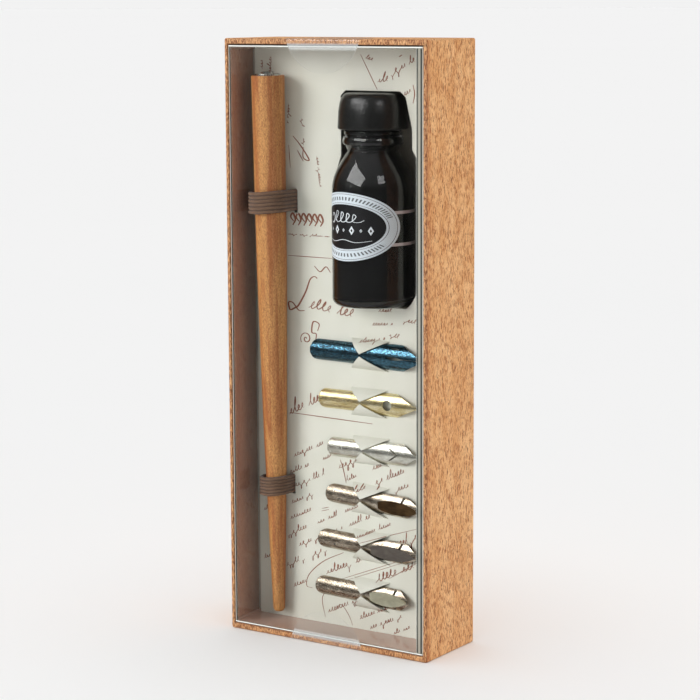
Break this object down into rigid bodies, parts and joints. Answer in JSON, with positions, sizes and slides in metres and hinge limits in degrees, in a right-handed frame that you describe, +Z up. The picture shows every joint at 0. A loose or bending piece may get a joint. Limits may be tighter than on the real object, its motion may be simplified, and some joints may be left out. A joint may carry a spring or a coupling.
{
  "type": "boxed dip pen set",
  "caption": "Wooden dip pen holder with steel nibs and a bottle of black ink, held on a printed card in a paper-covered box with a clear cover.",
  "frame": {"origin": "middle of the base of the box", "axes": "+Z up along the pen and the bottle, -Y out of the clear front, +X to the right seen from the front"},
  "size_m": [0.0666, 0.0254, 0.17],
  "materials": {
    "greyboard": "matte grey board",
    "cork_paper": "matte embossed paper with a cork look",
    "printed_card": "matte printed card",
    "elastic": "ribbed flat elastic",
    "clear_plastic": "clear gloss",
    "seal_film": "clear gloss film",
    "pen_wood": "oiled turned wood",
    "nickel_steel": "plated satin",
    "bottle_glass": "clear polished",
    "black_ink": "black liquid",
    "label_paper": "satin coated label",
    "cap_plastic": "black satin",
    "liner_foam": "white foam",
    "blued_steel": "blued, polished",
    "gilt_steel": "gilt, polished",
    "silver_steel": "bright plated",
    "bronze_steel": "bronzed, satin",
    "brown_brass": "dark brown, satin",
    "grey_brass": "grey-brown, satin",
    "pale_brass": "pale grey-green, satin"
  },
  "bodies": {
    "case": {"box_board": "greyboard", "wrap_paper": "cork_paper", "insert_card": "printed_card", "pen_loop_upper": "elastic", "pen_loop_lower": "elastic"},
    "cover": {"cover_front": "clear_plastic", "cover_wall_left": "clear_plastic", "cover_wall_right": "clear_plastic", "cover_wall_top": "clear_plastic", "cover_wall_bottom": "clear_plastic", "seal_top": "seal_film", "seal_bottom": "seal_film"},
    "pen": {"pen_handle": "pen_wood", "pen_ferrule": "nickel_steel", "pen_clutch": "nickel_steel"},
    "bottle": {"bottle_glass": "bottle_glass", "bottle_ink": "black_ink", "bottle_label": "label_paper"},
    "liner": {"cap_liner": "liner_foam"},
    "cap": {"bottle_cap": "cap_plastic"},
    "index_nib": {"nib_blue_index": "blued_steel"},
    "round_vent_nib": {"nib_gilt_round_vent": "gilt_steel"},
    "chevron_nib": {"nib_silver_chevron": "silver_steel"},
    "broad_nib_large": {"nib_broad_large": "bronze_steel", "reservoir_large": "brown_brass"},
    "broad_nib_medium": {"nib_broad_medium": "bronze_steel", "reservoir_medium": "grey_brass"},
    "broad_nib_small": {"nib_broad_small": "bronze_steel", "reservoir_small": "pale_brass"}
  },
  "joints": [
    {"name": "cover_pull", "type": "slide", "parent": "case", "child": "cover", "axis": [0, -1, 0], "range_m": [0, 0.045]},
    {"name": "pen_slide", "type": "slide", "parent": "case", "child": "pen", "axis": [0, -0.0192, 0.9998], "range_m": [-0.0018, 0.0065]},
    {"name": "bottle_turn", "type": "hinge", "parent": "case", "child": "bottle", "pos_m": [0.0083, -0.0003, 0.12], "axis": [0, 0, 1], "continuous": true},
    {"name": "cap_lift", "type": "slide", "parent": "bottle", "child": "liner", "axis": [0, 0, 1], "range_m": [0, 0.00035]},
    {"name": "cap_turn", "type": "hinge", "parent": "liner", "child": "cap", "pos_m": [0.0083, -0.0003, 0.15], "axis": [0, 0, 1], "range_deg": [0, 42]},
    {"name": "index_nib_play", "type": "slide", "parent": "case", "child": "index_nib", "axis": [0.9999, 0, -0.0131], "range_m": [-0.001, 0.001]},
    {"name": "round_vent_nib_play", "type": "slide", "parent": "case", "child": "round_vent_nib", "axis": [1, 0, 0], "range_m": [-0.001, 0.001]},
    {"name": "chevron_nib_play", "type": "slide", "parent": "case", "child": "chevron_nib", "axis": [1, 0, 0], "range_m": [-0.001, 0.001]},
    {"name": "broad_nib_large_play", "type": "slide", "parent": "case", "child": "broad_nib_large", "axis": [0.9986, 0, -0.0523], "range_m": [-0.001, 0.001]},
    {"name": "broad_nib_medium_play", "type": "slide", "parent": "case", "child": "broad_nib_medium", "axis": [0.9993, 0, -0.0384], "range_m": [-0.001, 0.001]},
    {"name": "broad_nib_small_play", "type": "slide", "parent": "case", "child": "broad_nib_small", "axis": [0.9995, 0, -0.0314], "range_m": [-0.001, 0.001]}
  ],
  "couplings": [
    {"joint": "cap_lift", "follows": "cap_turn", "m_per_rad": 0.0004774}
  ]
}
